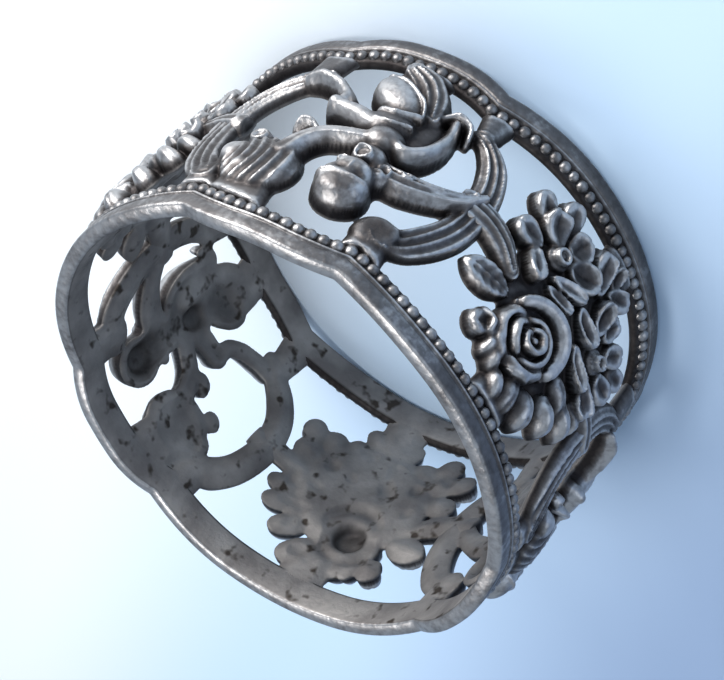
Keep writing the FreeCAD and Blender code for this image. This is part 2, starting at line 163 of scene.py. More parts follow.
class Relief:
    """Fields over one panel: height above the ground of the wall, how far inside the metal
    each place is, how rubbed it is with highlights painted on, and the hollows pressed in behind."""

    def __init__(self, low, high, reach, step):
        self.step, self.low, self.reach = step, low, reach
        u = np.arange(low, high + step, step)
        v = np.arange(-reach, reach + step, step)
        self.u, self.v = np.meshgrid(u, v, indexing="ij")
        self.height = np.zeros_like(self.u)
        self.cover = np.full_like(self.u, NO_COVER)
        self.rub_and_highlight = np.zeros_like(self.u)
        self.dents = np.zeros_like(self.u)

    def lay(self, height, cover, soft=0.12, margin=LAY_MARGIN):
        """Raise the panel to a form where the form covers it, blended over soft."""
        raised = np.where(cover > 0, height, NO_HEIGHT)
        self.height = smooth_max(self.height, raised, soft)
        self.cover = np.maximum(self.cover, cover + margin)

    def carve(self, depth):
        """Cut into the front by a depth given at each place."""
        self.height = self.height - depth

    def dent(self, u, v, radius, depth):
        """A round hollow behind, flat-bottomed with a soft edge."""
        x, y = self.local(u, v, 0)
        self.dents += depth / (1 + np.exp((np.hypot(x, y) - radius) / DENT_EDGE))

    def paint_rub_and_highlight(self, u, v, long, wide, turn=0, amount=0.35):
        """Rub a high place bright, as handling has done, and paint a highlight on it; a negative
        amount paints it darker.
        """
        x, y = self.local(u, v, turn)
        self.rub_and_highlight = self.rub_and_highlight + amount * np.exp(-(x / long) ** 2 - (y / wide) ** 2)

    def local(self, u, v, turn):
        """Places along and across a form at u, v that is turned by so many degrees."""
        t = math.radians(turn)
        x, y = self.u - u, self.v - v
        return x * math.cos(t) + y * math.sin(t), -x * math.sin(t) + y * math.cos(t)

    def oval(self, u, v, long, wide, turn=0):
        """Places along and across an oval, and their share of the way out to its rim."""
        x, y = self.local(u, v, turn)
        return x, y, np.sqrt((x / long) ** 2 + (y / wide) ** 2)

    def dome(self, u, v, long, wide, turn=0, base=0.0, rise=1.0, soft=0.15):
        """A rounded oval boss."""
        _, _, rho = self.oval(u, v, long, wide, turn)
        height = base + rise * half_round(rho)
        self.lay(height, (1 - rho) * min(long, wide), soft)

    def petal(self, u, v, long, wide, turn, base, rise, soft=0.06, cup=0.5):
        """A rounded lobe with a thin raised rim and a sunk middle, higher at its tip."""
        x, y = self.local(u, v, turn)
        wide_here = wide * (1 + 0.2 * np.clip(x / long, -1, 1))
        rho = np.sqrt((x / long) ** 2 + (y / wide_here) ** 2)
        tip = 0.55 + 0.45 * np.clip(0.4 + x / long, 0, 1)
        inside = 1 - cup * np.clip(1 - (rho / 0.8) ** 2, 0, 1) - 0.12 * np.exp(-(y / 0.12) ** 2)
        # the rim rounds off over the last 0.18 of the way out; 0.0324 is that squared
        end = np.sqrt(np.clip(1 - (rho - 0.82).clip(0) ** 2 / 0.0324, 0, 1))
        height = base + rise * tip * inside * end
        self.lay(height, (1 - rho) * min(long, wide), soft)

    def finger(self, u, v, long, wide, turn, base, rise):
        """A full rounded petal, creased along its middle."""
        x, y = self.local(u, v, turn)
        rho = np.sqrt(np.abs(x / long) ** 2.6 + np.abs(y / wide) ** 2.2)
        height = base + rise * np.sqrt(np.clip(1 - rho, 0, 1))
        height = height - 0.16 * np.exp(-(y / 0.16) ** 2) * (x / long > -0.7)
        self.lay(height, (1 - rho) * min(long, wide), 0.05)

    def loop(self, u, v, long, wide, turn, base, rise):
        """A raised oval ring with a sunk middle."""
        _, _, rho = self.oval(u, v, long, wide, turn)
        height = base + rise * np.exp(-((rho - 0.7) / 0.26) ** 2)
        self.lay(height, (1 - rho) * min(long, wide), 0.08)

    def leaf(self, u, v, long, wide, turn, base, rise, veins=6):
        """A pointed leaf, cupped between thin raised edges, with a vein and faint side veins."""
        x, y = self.local(u, v, turn)
        half = wide * np.clip(1 - np.abs(x / long) ** 2.2, 0.001, 1) ** 0.8
        across = np.clip(np.abs(y) / half, 0, 1)
        height = base + rise * (0.5 + 0.6 * across ** 2 - 0.8 * np.clip(across - 0.8, 0, 1) / 0.2)
        height = height + 0.18 * rise * np.exp(-(y / 0.12) ** 2)
        height = height + 0.05 * rise * np.cos((x + 0.7 * np.abs(y)) / long * math.pi * veins)
        self.lay(height, np.minimum(half - np.abs(y), long - np.abs(x)), 0.06)

    def curl(self, u, v, radius, lead, base, rise):
        """A lock of hair that winds in on itself."""
        x, y = self.local(u, v, lead)
        r = np.hypot(x, y)
        winding = np.cos(2 * math.pi * r / (0.7 * radius) - np.arctan2(y, x))
        height = base + rise * half_round(r / radius) + 0.1 * winding
        self.lay(height, radius - r, 0.05)

    def strip(self, path, halves):
        """Place along a path, signed place across it and the depth inside, everywhere."""
        pts, wid = smooth_path(path, halves)
        best = np.full_like(self.u, FAR)
        along, across, inside = (np.zeros_like(self.u) for _ in range(3))
        total = len(pts) - 1
        for k in range(total):
            (au, av), (bu, bv) = pts[k], pts[k + 1]
            du, dv = bu - au, bv - av
            span = du * du + dv * dv
            t = np.clip(((self.u - au) * du + (self.v - av) * dv) / span, 0, 1)
            ou, ov = self.u - au - t * du, self.v - av - t * dv
            gap = np.hypot(ou, ov)
            half = wid[k] + (wid[k + 1] - wid[k]) * t
            near = gap < best
            best = np.where(near, gap, best)
            along = np.where(near, (k + t) / total, along)
            side = np.sign(du * ov - dv * ou)
            across = np.where(near, side * gap / half, across)
            inside = np.where(near, half - gap, inside)
        return along, across, inside

    def limb(self, path, halves, rises, soft=0.25):
        """A rounded bar along a path, with its heights given evenly along it."""
        along, across, inside = self.strip(path, halves)
        lift = np.interp(along, np.linspace(0, 1, len(rises)), rises)
        height = lift * (0.1 + 0.9 * np.clip(1 - np.abs(across) ** 2.3, 0, 1) ** 0.55)
        self.lay(height, inside, soft)

    def ridge(self, path, half, base, rise, lean=0.3):
        """A curled petal edge: steep on its outer side, soft on the other, thin at its ends."""
        along, s, inside = self.strip(path, [half] * len(path))
        swell = np.clip(np.sin(math.pi * np.clip(along, 0.0, 1.0)), 0, 1) ** 0.4
        crest = np.clip(1 - np.abs(s - lean) / (1.0 + np.sign(s - lean) * -lean), 0, 1)
        height = base + rise * swell * half_round(1 - crest)
        self.lay(height, inside + 0.6 * half * (swell - 1), 0.05, 0.0)

    def folds(self, path, halves, rise, count, depth=0.25, drift=0.0):
        """A band of sharp long ridges with round hollows between, domed across."""
        along, s, inside = self.strip(path, halves)
        crest = 1 - np.abs(np.sin(math.pi * (0.5 * count * s + drift * along + 0.5)))
        dome = half_round(s)
        self.lay(rise * (0.4 + 0.6 * dome) + depth * (crest - 0.4) * dome ** 0.5, inside, 0.08)

    def scroll(self, path, halves, rise, flare=1.6):
        """A C-scroll band: long ridges between two rims, swept across near its terminal."""
        along, s, inside = self.strip(path, halves)
        drift = flare * np.exp(-along / 0.16)
        crest = 1 - np.abs(np.sin(math.pi * (1.9 * s + 0.1 + drift)))
        rim = np.exp(-((s + 0.86) / 0.12) ** 2) + 0.7 * np.exp(-((s - 0.86) / 0.12) ** 2)
        end = np.sqrt(np.clip(1 - np.abs(s) ** 8, 0, 1))
        height = rise * (0.58 + 0.3 * rim) * end + 0.34 * (crest - 0.35) * end
        self.lay(height, inside, 0.06, 0.05)


def smooth_path(path, halves, parts=6):
    """Even curve through the given places, with the half widths that go with it."""
    pts = [path[0]] + list(path) + [path[-1]]
    wid = [halves[0]] + list(halves) + [halves[-1]]
    out, sizes = [], []
    for k in range(1, len(pts) - 2):
        for j in range(parts):
            t = j / parts
            w = (0.5 * (-t + 2 * t * t - t ** 3), 0.5 * (2 - 5 * t * t + 3 * t ** 3),
                 0.5 * (t + 4 * t * t - 3 * t ** 3), 0.5 * (t ** 3 - t * t))
            out.append(tuple(sum(w[i] * pts[k - 1 + i][c] for i in range(4)) for c in (0, 1)))
            sizes.append(wid[k] + (wid[k + 1] - wid[k]) * t)
    return out + [pts[-1]], sizes + [wid[-1]]


def figure_relief(step):
    """A winged child leaning in a cartouche of two C-scrolls."""
    r = Relief(*FIGURE_SPAN, PANEL_REACH, step)
    # left scroll with its plain oval terminal, curled in at the hand
    r.scroll([(-8.2, 7.5), (-9.6, 6.8), (-10.9, 5.0), (-11.8, 2.8), (-12.1, 0.4), (-11.9, -2.4),
              (-10.9, -4.9), (-9.3, -6.5), (-7.8, -7.0)],
             [1.4, 1.5, 1.55, 1.55, 1.5, 1.45, 1.35, 1.0, 0.6], 1.15)
    r.limb([(-7.6, 8.2), (-7.8, 11)], [1.7, 1.9], [0.7, 0.5])
    r.limb([(-8.6, -7.2), (-8.4, -11)], [0.9, 1.8], [0.8, 0.5])
    x, _, rho = r.oval(-7.4, 7.6, 1.9, 1.6, 25)
    r.lay(0.3 + 0.6 * np.sqrt(np.clip(1 - rho ** 9, 0, 1)) - 0.12 * x, (1 - rho) * 1.6, 0.05)
    # right scroll, fluted at the terminal, with the foot by its end at the lower border
    r.scroll([(8.6, 7.9), (10.2, 6.8), (11.5, 4.9), (12.2, 2.4), (12.3, 0.0), (11.6, -2.6),
              (10.1, -4.6), (8.2, -6.0), (6.6, -7.0)],
             [1.5, 1.65, 1.6, 1.55, 1.5, 1.45, 1.4, 1.2, 0.8], 1.1, -1.8)
    r.limb([(8.6, 8.4), (8.2, 11)], [1.7, 2.1], [0.7, 0.5])
    r.limb([(8.0, -6.6), (7.8, -11)], [1.2, 2.0], [0.8, 0.5])
    # gathered cloth with a round end, hung from the upper border and held by the far hand
    r.limb([(4.4, 8.4), (4.2, 11)], [2.6, 3.0], [0.7, 0.6])
    _, _, rho = r.oval(4.4, 6.3, 3.5, 3.2)
    arcs = 1 - np.abs(np.sin(math.pi * np.hypot(r.u - 8.6, r.v - 6.6) / 0.85))
    swell = 0.4 + 1.15 * np.sqrt(np.clip(1 - rho ** 2.5, 0, 1))
    r.lay(swell + 0.3 * (arcs - 0.4), (1 - rho) * 3.2, 0.1)
    r.dome(7.0, 6.0, 1.5, 1.45, 0, 0.5, 1.1, 0.05)
    r.dome(5.2, 7.6, 1.0, 0.7, 30, 0.8, 0.8, 0.05)
    r.loop(6.7, 3.0, 1.0, 0.8, 30, 0.6, 0.7)
    r.folds([(3.1, 4.8), (2.5, 2.8), (1.2, 1.3), (-1.6, 0.2)], [1.25, 1.0, 0.9, 0.9], 1.6, 3, 0.16)
    r.limb([(4.0, 1.7), (3.6, 1.1), (2.9, 0.9), (2.3, 1.2)], [0.45, 0.6, 0.55, 0.4],
           [1.6, 2.1, 2.0, 1.7], 0.08)
    # wing: a long pointed leaf with feather lines, let into the scroll
    r.folds([(-4.4, 2.9), (-6.6, 2.6), (-8.8, 1.6), (-10.6, 0.2), (-11.9, -1.6)],
            [1.2, 1.25, 1.05, 0.85, 0.4], 1.35, 3, 0.26)
    r.limb([(-4.6, 1.7), (-6.7, 1.5), (-9.0, 0.6), (-11.2, -1.5)], [0.3, 0.32, 0.28, 0.15],
           [1.5, 1.7, 1.6, 1.3], 0.08)
    r.loop(-6.4, 1.7, 0.6, 0.5, 20, 1.1, 0.6)
    # cloth behind the near leg, down to the lower border
    r.dome(-3.6, -3.4, 2.9, 3.2, 10, 0.1, 0.75, 0.2)
    r.limb([(-0.6, -7.4), (-1.2, -11)], [1.9, 2.3], [0.7, 0.6])
    r.folds([(-0.2, -9.6), (-2.0, -8.7), (-3.4, -7.2), (-4.3, -5.2)], [1.0, 1.5, 1.5, 1.0], 1.25, 4,
            0.3, 0.4)
    # trunk: hips, band at the waist, chest
    r.dome(-2.2, -2.2, 2.2, 1.7, 20, 0.4, 1.6, 0.25)
    r.dome(-2.9, -0.3, 1.9, 1.7, 0, 0.4, 1.7, 0.3)
    r.limb([(-0.9, -2.9), (-2.3, -2.9), (-3.9, -3.9)], [0.4, 0.45, 0.4], [2.0, 2.3, 1.9], 0.12)
    r.limb([(-1.3, -1.6), (-2.6, -1.7), (-4.0, -2.4)], [0.28, 0.3, 0.28], [2.0, 2.2, 1.9], 0.15)
    # near thigh
    r.dome(-1.1, -5.5, 3.1, 1.95, 148, 0.4, 1.75, 0.08)
    r.limb([(0.9, -7.2), (-1.0, -6.9), (-3.2, -5.6), (-4.0, -4.2)], [0.2, 0.28, 0.28, 0.2],
           [1.6, 2.1, 2.1, 1.7], 0.06)
    # far thigh, knee, shin and foot
    r.limb([(-2.2, -1.4), (0.3, -1.8), (2.5, -2.0)], [1.2, 1.1, 0.95], [1.7, 1.95, 1.9], 0.35)
    r.dome(2.6, -2.0, 0.95, 0.95, 0, 0.5, 1.6, 0.1)
    r.limb([(2.5, -2.4), (2.7, -3.8), (4.0, -4.9)], [0.85, 0.8, 0.8], [1.7, 1.5, 1.6])
    r.limb([(4.0, -4.9), (6.0, -5.5), (7.6, -5.3)], [0.8, 0.8, 0.5], [1.7, 1.9, 1.5])
    # near arm and hand
    r.limb([(-3.6, -0.4), (-4.9, 0.1), (-6.0, -0.9), (-6.6, -2.7), (-6.6, -4.4)],
           [0.9, 0.9, 0.85, 0.8, 0.65], [1.9, 2.0, 2.0, 1.8, 1.5])
    r.limb([(-6.6, -4.4), (-6.2, -6.0)], [0.65, 0.6], [1.5, 1.5])
    r.limb([(-5.0, -6.0), (-5.9, -6.8), (-7.2, -6.5), (-7.7, -5.4)], [0.35, 0.5, 0.45, 0.3],
           [1.3, 1.8, 1.7, 1.3], 0.06)
    # neck and head, whose middle is cu, cv; the face is turned down towards the shoulder
    r.dome(-3.2, 2.0, 1.7, 1.5, 0, 0.4, 1.5, 0.3)
    cu, cv = -3.1, 6.0
    x, y, rho = r.oval(cu, cv, 2.4, 2.4)
    hair = 0.04 * np.cos(9 * np.arctan2(y + 3.4, x)) * np.clip(y + 0.6, 0, 1)
    r.lay(0.5 + 1.95 * np.clip(1 - rho ** 2.6, 0, 1) ** 0.5 + hair, (1 - rho) * 2.4, 0.1)
    r.dome(cu - 0.1, cv - 1.4, 1.95, 1.6, 0, 0.8, 1.75, 0.2)
    r.limb([(cu - 1.9, cv - 0.5), (cu - 0.8, cv - 0.1), (cu + 0.8, cv + 0.1), (cu + 2.0, cv + 0.4)],
           [0.28, 0.4, 0.4, 0.28], [2.1, 2.68, 2.68, 2.1], 0.2)
    # eye sockets and mouth, then nose and cheeks
    for u, v, long, wide, depth in ((-0.75, -0.8, 0.42, 0.26, 0.24), (0.75, -0.7, 0.42, 0.26, 0.24),
                                    (0.0, -2.15, 0.4, 0.12, 0.18)):
        x, y = r.local(cu + u, cv + v, 0)
        r.carve(depth * np.exp(-((x / long) ** 2 + (y / wide) ** 2)))
    r.limb([(cu, cv - 0.7), (cu + 0.05, cv - 1.5)], [0.2, 0.3], [2.5, 2.7], 0.2)
    r.dome(cu - 0.95, cv - 1.7, 0.6, 0.55, 0, 1.5, 0.9, 0.2)
    r.dome(cu + 0.95, cv - 1.65, 0.6, 0.55, 0, 1.5, 0.9, 0.2)
    # ear and locks by the neck
    r.loop(-2.7, 2.5, 0.95, 0.85, 0, 1.4, 0.85)
    r.curl(-4.7, 3.6, 0.9, 30, 1.0, 0.7)
    r.loop(-4.9, 2.8, 0.6, 0.8, 25, 1.0, 0.6)
    r.loop(-1.5, 3.3, 0.6, 0.5, 0, 1.2, 0.7)
    # places that handling has rubbed bright, with painted highlights on them, two painted darker,
    # and hollows behind
    for u, v, long, wide, turn in ((-0.8, -5.9, 2.4, 1.0, 150), (5.9, -5.5, 1.7, 0.6, 0),
                                   (2.8, -2.0, 0.8, 0.8, 0), (-2.9, 6.1, 2.0, 0.5, 5),
                                   (-6.3, -2.4, 0.7, 1.4, 0), (3.4, 1.2, 0.8, 0.6, 0),
                                   (-6.0, -6.7, 1.3, 0.4, 0), (7.2, 5.8, 0.9, 0.9, 0),
                                   (-8.6, 1.2, 2.6, 0.4, -25), (12.0, -0.5, 0.4, 2.5, 0)):
        r.paint_rub_and_highlight(u, v, long, wide, turn)
    r.paint_rub_and_highlight(-3.1, 7.0, 2.2, 1.2, 0, -0.3)
    r.paint_rub_and_highlight(-7.4, 7.8, 1.8, 1.5, 0, -0.3)
    r.dent(-3.1, 5.6, 1.3, 0.55)
    r.dent(-2.4, -2.0, 1.2, 0.5)
    return r


def flower_relief(step):
    """A large rose over smaller blossoms, leaves and buds."""
    r = Relief(*FLOWER_SPAN, PANEL_REACH, step)
    # ties to both borders and to the scrolls on either side
    r.limb([(0.2, 8.5), (0.2, 11)], [2.2, 2.5], [0.5, 0.5])
    r.limb([(-1.0, -7.5), (-1.2, -11)], [1.8, 2.4], [0.5, 0.5])
    r.limb([(-6.5, 0.2), (-9.4, 0.0), (-12.4, 0.4)], [1.2, 0.9, 1.2], [0.7, 0.7, 0.7])
    r.dome(-0.2, -0.6, 6.9, 6.6, 0, 0.1, 0.3)
    # stem leaves to the scrolls
    r.folds([(12.4, -0.6), (10.2, -0.6), (8.2, 0.0), (6.4, 1.2)], [1.5, 1.4, 1.3, 0.8], 1.0, 4, 0.3)
    r.folds([(-12.0, 0.4), (-10.0, 0.0), (-8.0, 0.2)], [1.2, 1.1, 0.9], 0.9, 3, 0.25)
    # cupped leaf, bud and side leaves
    r.leaf(7.6, 3.3, 2.4, 1.5, 8, 0.1, 1.0, 5)
    r.petal(5.5, 6.7, 1.3, 1.15, 50, 0.2, 1.2, 0.06, 0.35)
    r.ridge([(6.3, 5.6), (5.0, 5.9), (4.5, 7.2)], 0.4, 0.8, 0.9)
    for u, v, long, wide, turn in ((2.9, 7.7, 1.5, 0.8, 130), (1.3, 9.0, 1.4, 0.75, 130),
                                   (3.9, 7.3, 1.3, 0.7, 110)):
        r.finger(u, v, long, wide, turn, 0.2, 1.2)
    # full petals towards the upper border and the next stem
    for u, v, long, wide, turn, rise in (
            (-0.2, 8.4, 1.7, 1.0, 110, 1.2), (-2.1, 7.9, 1.9, 1.25, 128, 1.5),
            (-4.4, 5.9, 1.9, 1.1, 145, 1.5), (-6.3, 4.0, 2.1, 1.05, 156, 1.5),
            (-4.2, 3.6, 1.9, 1.1, 150, 1.3), (-7.4, 2.4, 1.7, 0.9, 170, 1.2)):
        r.finger(u, v, long, wide, turn, 0.3, rise)
    # first blossom, seen in the photograph above the rose
    for u, v, long, wide, turn, rise in (
            (7.6, -6.0, 1.6, 1.0, -38, 1.3), (7.4, -2.9, 1.5, 1.2, 10, 1.3),
            (5.4, -7.6, 1.5, 1.1, -62, 1.2), (5.9, -5.4, 1.5, 1.3, -45, 1.5),
            (3.4, -6.1, 1.4, 1.25, -100, 1.4), (1.6, -4.7, 1.6, 1.3, 205, 1.4),
            (0.3, -7.2, 2.0, 0.95, -60, 1.3), (-1.0, -8.3, 1.1, 0.7, -70, 1.2),
            (-2.6, -7.5, 1.6, 0.95, 215, 1.3)):
        r.petal(u, v, 1.1 * long, 1.08 * wide, turn, 0.35, rise)
    r.petal(5.5, -1.1, 1.7, 0.85, 125, 0.5, 1.4, 0.06, 0.25)
    r.petal(2.0, -2.3, 1.9, 0.75, 200, 0.6, 1.4, 0.06, 0.2)
    r.petal(2.0, -0.9, 1.6, 0.6, 184, 0.5, 1.2, 0.06, 0.2)
    r.dome(*BLOSSOM, 1.2, 1.2, 0, 0.6, 0.5, 0.2)
    r.loop(*BLOSSOM, 0.85, 0.8, 0, 1.0, 0.65)
    r.dome(*BLOSSOM, 0.35, 0.35, 0, 1.0, 0.4, 0.1)
    # second blossom
    for u, v, long, wide, turn, rise in (
            (-1.6, -2.3, 1.7, 0.9, 160, 1.5), (-2.4, -4.7, 1.5, 1.0, -60, 1.5),
            (-4.0, -5.3, 1.3, 1.0, -90, 1.4), (-6.2, -4.7, 1.3, 1.1, -120, 1.4),
            (-8.5, -4.6, 1.3, 1.1, -150, 1.2), (-7.7, -2.3, 1.5, 1.2, 185, 1.4),
            (-6.5, 0.7, 1.7, 1.2, 150, 1.5), (-3.6, 0.4, 1.9, 0.75, 152, 1.5)):
        r.petal(u, v, 1.08 * long, 1.08 * wide, turn, 0.35, rise)
    r.dome(*SMALL_BLOSSOM, 1.2, 1.1, 0, 0.6, 0.5, 0.2)
    r.loop(*SMALL_BLOSSOM, 0.9, 0.7, 20, 1.0, 0.7)
    # the rose: a dish of outer petals and a heart that winds in on itself
    r.dome(*ROSE, 3.3, 3.4, 0, 0.35, 0.8, 0.1)
    for path, half, rise in (
            (((4.4, 2.6), (3.0, 1.2), (1.2, 0.7), (-0.4, 1.2), (-1.4, 2.6), (-1.6, 4.6)), 0.72, 1.3),
            (((3.2, 3.0), (4.5, 3.9), (4.6, 5.4), (3.4, 6.9), (2.2, 7.3)), 0.5, 1.1),
            (((2.4, 7.0), (1.0, 7.1), (-0.4, 6.2), (-0.8, 4.6)), 0.6, 1.1),
            (((2.9, 3.3), (3.6, 4.4), (3.0, 5.7), (1.7, 6.2)), 0.42, 1.2),
            (((1.6, 6.2), (0.3, 5.6), (-0.1, 4.2), (0.6, 2.9), (1.9, 2.4), (3.0, 3.1)), 0.42, 1.25)):
        r.ridge(path, half, 0.8, rise)
    r.ridge(((2.4, 3.6), (1.5, 3.1), (0.8, 3.9), (1.1, 4.9), (2.1, 5.1), (2.5, 4.3), (1.9, 3.9)),
            0.36, 1.1, 1.1)
    r.dome(1.6, 4.2, 0.4, 0.4, 0, 1.2, 0.7, 0.1)
    # rubbed places with painted highlights, and hollows behind the rose and the blossoms
    for u, v, long, wide, turn in ((-0.3, 1.5, 2.2, 0.5, -30), (-1.2, 3.4, 0.5, 1.2, 0),
                                   (0.2, 6.4, 1.2, 0.4, 40), (2.0, -2.3, 1.6, 0.4, 20),
                                   (9.2, 3.6, 0.5, 1.0, 0), (-3.4, 0.4, 1.5, 0.5, 150)):
        r.paint_rub_and_highlight(u, v, long, wide, turn, 0.28)
    r.dent(*ROSE, 1.5, 0.75)
    r.dent(*BLOSSOM, 0.7, 0.3)
    r.dent(*SMALL_BLOSSOM, 0.7, 0.3)
    return r


# Skins

def surface_net(field):
    """Vertices in cell units and quads on the zero level of a field, negative inside."""
    inside = field < 0
    shape = tuple(n - 1 for n in field.shape)

    def corner(values, c):
        return values[c[0]:c[0] + shape[0], c[1]:c[1] + shape[1], c[2]:c[2] + shape[2]]

    # a vertex in each cell that the surface cuts, at the mean of its crossed edges
    corners = [(i, j, k) for i in (0, 1) for j in (0, 1) for k in (0, 1)]
    count = sum(corner(inside, c).astype(np.int8) for c in corners)
    active = (count > 0) & (count < 8)
    cells = np.argwhere(active)
    index = np.full(shape, -1, np.int64)
    index[active] = np.arange(len(cells))
    place = np.zeros((len(cells), 3))
    hits = np.zeros(len(cells))
    at = [tuple((cells + np.array(c)).T) for c in corners]
    values = [field[a] for a in at]
    for m, a in enumerate(corners):
        for n, b in enumerate(corners):
            if n > m and sum(abs(x - y) for x, y in zip(a, b)) == 1:
                cross = (values[m] < 0) != (values[n] < 0)
                t = values[m] / np.where(cross, values[m] - values[n], 1)
                place[cross] += (np.array(a) + t[:, None] * (np.array(b) - np.array(a)))[cross]
                hits[cross] += 1
    place = cells + place / hits[:, None]
    # a quad round each grid edge that the surface crosses, facing out of the metal
    quads = []
    for axis in range(3):
        one, two = [d for d in range(3) if d != axis]
        low = [slice(1, n - 1) for n in field.shape]
        high = list(low)
        low[axis], high[axis] = slice(0, -1), slice(1, None)
        a, b = inside[tuple(low)], inside[tuple(high)]
        for leaving in (True, False):
            edges = np.argwhere((a & ~b) if leaving else (~a & b))
            edges[:, one] += 1
            edges[:, two] += 1
            ring = []
            for du, dv in ((0, 0), (1, 0), (1, 1), (0, 1)):
                cell = edges.copy()
                cell[:, one] -= 1 - du
                cell[:, two] -= 1 - dv
                ring.append(index[tuple(cell.T)])
            quad = np.stack(ring, 1)
            if leaving == (axis == 1):
                quad = quad[:, ::-1]
            quads.append(quad)
    return place, np.concatenate(quads)


def sample(field, x, y):
    """Field values between its grid places."""
    i = np.clip(x.astype(int), 0, field.shape[0] - 2)
    j = np.clip(y.astype(int), 0, field.shape[1] - 2)
    s, t = np.clip(x - i, 0, 1), np.clip(y - j, 0, 1)
    return ((field[i, j] * (1 - s) + field[i + 1, j] * s) * (1 - t)
            + (field[i, j + 1] * (1 - s) + field[i + 1, j + 1] * s) * t)


def add_object(name, data):
    added = bpy.data.objects.new(name, data)
    bpy.context.collection.objects.link(added)
    return added


def add_piece(name, mesh):
    """Show a mesh as a piece of the ring, at the origin."""
    piece = add_object(name, mesh)
    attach(piece, "root")
    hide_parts(NODE)


def mesh_piece(name, points, faces, marks):
    """Piece from points in mm, faces with equal corners and named values per vertex."""
    mesh = bpy.data.meshes.new(name)
    mesh.vertices.add(len(points))
    mesh.vertices.foreach_set("co", (np.asarray(points) * MM).astype(np.float32).ravel())
    faces = np.asarray(faces, np.int32)
    mesh.loops.add(faces.size)
    mesh.loops.foreach_set("vertex_index", faces.ravel())
    mesh.polygons.add(len(faces))
    mesh.polygons.foreach_set("loop_start", np.arange(0, faces.size, faces.shape[1], dtype=np.int32))
    mesh.update(calc_edges=True)
    mesh.polygons.foreach_set("use_smooth", np.ones(len(faces), bool))
    for key, values in marks.items():
        layer = mesh.attributes.new(key, "FLOAT", "POINT")
        layer.data.foreach_set("value", np.asarray(values, np.float32))
    if mesh.validate():
        raise RuntimeError("%s had faces that do not hold" % name)
    mesh.materials.append(silver())
    add_piece(name, mesh)


def panel_sides(relief, centre):
    """Height of the front and depth of the back, finished at edges and under the beads."""
    step = relief.step
    brim = [edge_height(math.degrees(x / GRID_RADIUS) + centre) - BRIM for x in relief.u[:, 0]]
    under = np.clip((np.abs(relief.v) - np.array(brim)[:, None]) / BRIM_FADE, 0, 1)
    height = np.clip(relief.height, LOWEST, None)
    height = height * (1 - under) - TUCK * under
    edge = (1 - blur(np.clip(relief.cover / EDGE_WIDTH, 0, 1), 1.0)) * (1 - under)
    height = (height + EDGE_BASE) * (1 - EDGE_SHARE * edge ** 2) - EDGE_BASE
    thin = (1 - blur(np.clip(relief.cover / THIN_WIDTH, 0, 1), 1.5)) * (1 - under)
    back = np.clip(blur(height, HOLLOW_BLUR / step) - HOLLOW_START, 0, HOLLOW_MOST)
    return height, back * settings().hollow + THINNING * thin + relief.dents


def panel_field(relief, front, back, levels):
    """Field over the panel and the levels, negative in the metal and closed at its ends."""
    slope_u, slope_v = np.gradient(front, relief.step)
    steep = np.sqrt(1 + slope_u ** 2 + slope_v ** 2)[:, :, None]
    pierced = blur(np.minimum(relief.cover, 1.0), 0.9)[:, :, None]
    above = (levels - front[:, :, None]) / steep
    field = smooth_max(above, back[:, :, None] - levels, 0.1)
    field = smooth_max(field, -pierced, 0.18)
    for axis in (0, 1):
        for end in (0, -1):
            side = [slice(None)] * 3
            side[axis] = end
            field[tuple(side)] = 1.0
    return field


def panel_skin(relief, centre):
    """Closed skin of one panel: relief in front, bore and hollows behind, pierced between."""
    s = settings()
    ground = s.outer_radius - s.border_step
    bore = ground - s.wall
    step = relief.step
    height, back = panel_sides(relief, centre)
    levels = np.arange(bore - SPARE, ground + height.max() + SPARE, step)
    field = panel_field(relief, ground + height, bore + back, levels[None, None, :])
    place, quads = surface_net(field)
    u = relief.low + place[:, 0] * step
    v = -relief.reach + place[:, 1] * step
    radius = levels[0] + place[:, 2] * step
    angle = u / GRID_RADIUS + math.radians(centre)
    points = np.stack([radius * np.cos(angle), radius * np.sin(angle), s.half_height + v], 1)

    def here(values):
        return sample(values, place[:, 0], place[:, 1])

    def standing(width, gain, level):
        return here(height - blur(height, width / step)) * gain + level

    # wear follows how far a place stands above the metal close by and further round
    top, behind = here(height), here(back)
    front = np.clip((radius - ground + 0.25 - top + 0.5) / 0.35, 0, 1)
    worn = NEAR_SHARE * standing(*NEAR_WEAR) + BROAD_SHARE * standing(*BROAD_WEAR)
    worn = np.clip(worn + 0.03 * (top - 1.2), 0, 1) * front
    # the rubbed places add wear and painted highlights here, and negative ones paint the metal
    # darker
    worn = np.clip(worn + here(relief.rub_and_highlight) * front, 0, 1)
    # the inside is marked up to just past the hollowed back, less where a hollow is deep
    inner = np.clip((bore + 0.35 + behind - radius) / 0.25, 0, 1)
    inner = inner * np.clip(1.2 - 0.85 * behind, 0.3, 1)
    return points, quads, {"worn": worn, "inner": inner}


def build_panels(name, relief, centres):
    """The same relief set round the ring at each centre, in degrees."""
    for k, centre in enumerate(centres, start=1):
        points, quads, marks = panel_skin(relief, centre)
        mesh_piece("%s_%d" % (name, k), points, quads, marks)


# Border section: place across the wall and depth below the edge, in mm, round the metal.
SECTION = ((0.0, 2.8), (0.0, 1.6), (0.0, 0.34), (0.05, 0.13), (0.22, 0.0), (0.7, -0.02),
           (1.14, 0.0), (1.32, 0.1), (1.39, 0.3), (1.42, 0.8), (1.4, 1.3), (1.35, 1.42),
           (1.25, 1.48), (1.27, 1.54), (1.38, 1.6), (1.46, 1.7), (1.42, 1.82), (1.25, 1.9),
           (1.06, 1.94), (1.06, 2.1), (1.12, 2.5), (1.06, 2.86), (1.0, 3.06), (0.86, 3.2),
           (0.6, 3.27), (0.3, 3.2), (0.08, 3.02))


